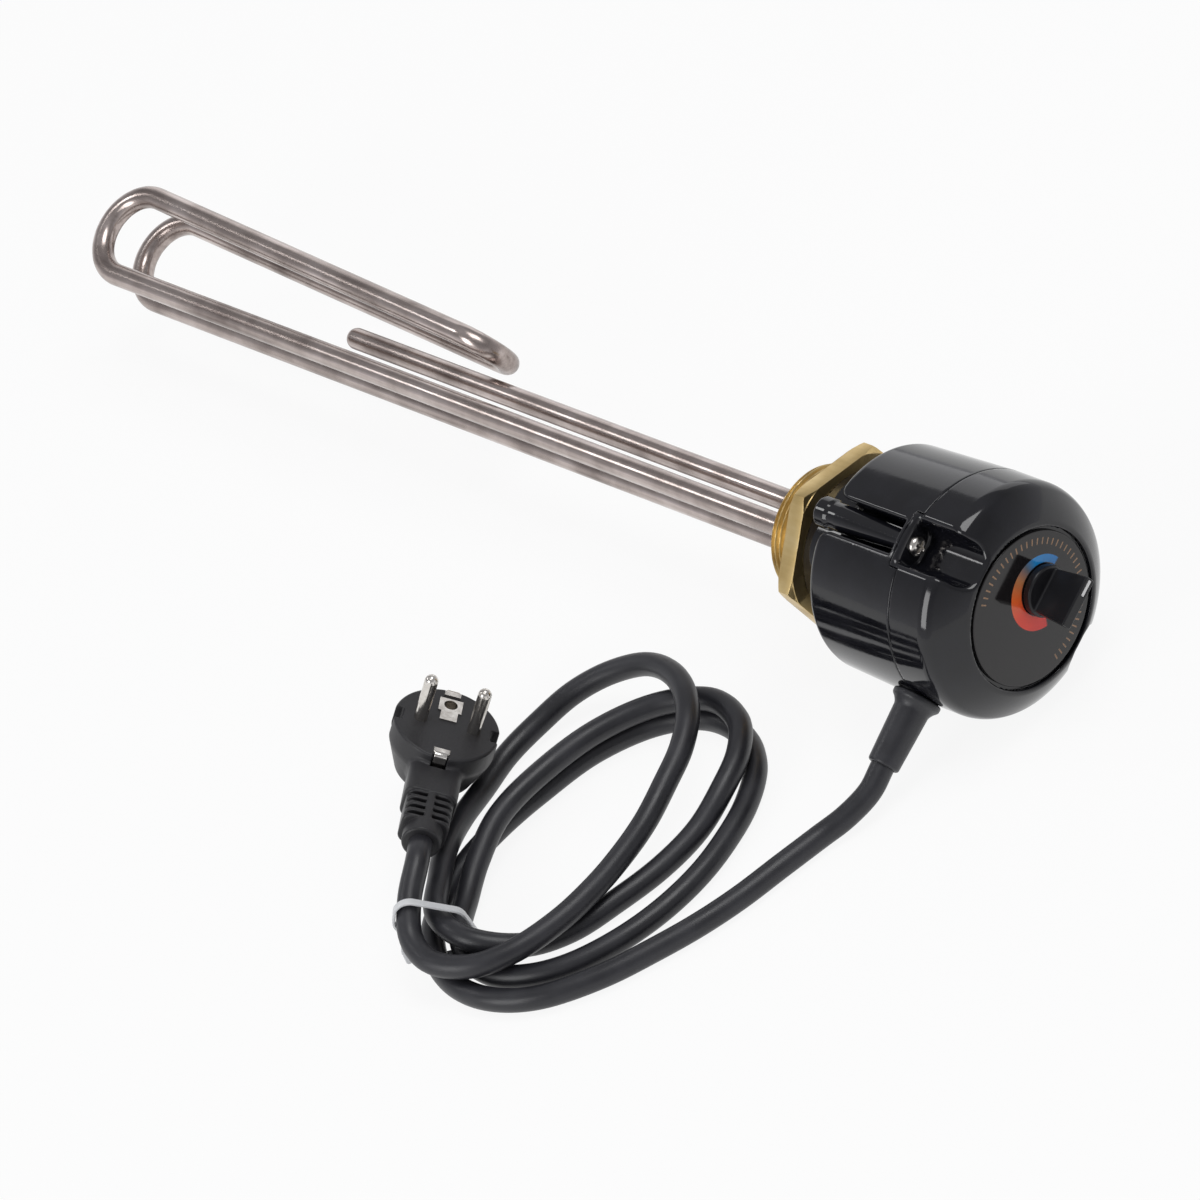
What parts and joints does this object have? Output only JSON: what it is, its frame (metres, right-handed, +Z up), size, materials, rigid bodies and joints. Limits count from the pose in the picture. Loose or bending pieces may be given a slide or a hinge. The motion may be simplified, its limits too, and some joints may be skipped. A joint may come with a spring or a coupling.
{
  "type": "screw plug immersion heater",
  "caption": "Screw plug immersion heater with a folded steel element, brass hexagon plug, black regulator head with a turning knob, and a coiled supply cord with a mains plug.",
  "frame": {"origin": "on the heater's axis at the sealing face of the screw plug, where the thread meets the hexagon", "axes": "+X along the heater's axis towards the dial, -X into the tank; +Z up as the heater lies in the picture"},
  "size_m": [0.5001, 0.2487, 0.0841],
  "materials": {
    "brass": "turned, matt",
    "stainless": "drawn tube, satin",
    "nickel": "nickel plated",
    "copper": "drawn copper",
    "black_shell": "moulded, gloss",
    "dial": "gloss, printed scale",
    "black_knob": "moulded, semi gloss",
    "ceramic": "unglazed",
    "rubber": "satin",
    "plug_rubber": "moulded, satin",
    "nylon": "translucent white"
  },
  "bodies": {
    "heater": {"screw_plug": "brass", "heating_element": "stainless", "terminal_studs": "nickel", "insulating_beads": "ceramic", "sensor_pocket": "stainless", "sensor_bulb": "copper", "rear_shell": "black_shell", "shell_screws": "nickel", "earth_screw": "brass", "front_cover": "black_shell", "cover_screws": "nickel", "dial_plate": "dial", "regulator_body": "ceramic", "regulator_screws": "nickel", "limiter": "black_knob", "terminal_block": "ceramic", "cord_sleeve": "rubber", "cord_tail": "rubber", "cord_clamp": "ceramic", "clamp_screws": "nickel", "power_cord": "rubber", "cable_tie": "nylon", "plug_body": "plug_rubber", "plug_pins": "nickel", "plug_earth_clips": "nickel", "plug_earth_socket": "nickel"},
    "knob": {"control_knob": "black_knob", "regulator_shaft": "nickel"}
  },
  "joints": [
    {"name": "knob_turn", "type": "hinge", "parent": "heater", "child": "knob", "pos_m": [0.0908, 0.00676, 0.00301], "axis": [1, 0, 0], "range_deg": [0, 220]}
  ]
}
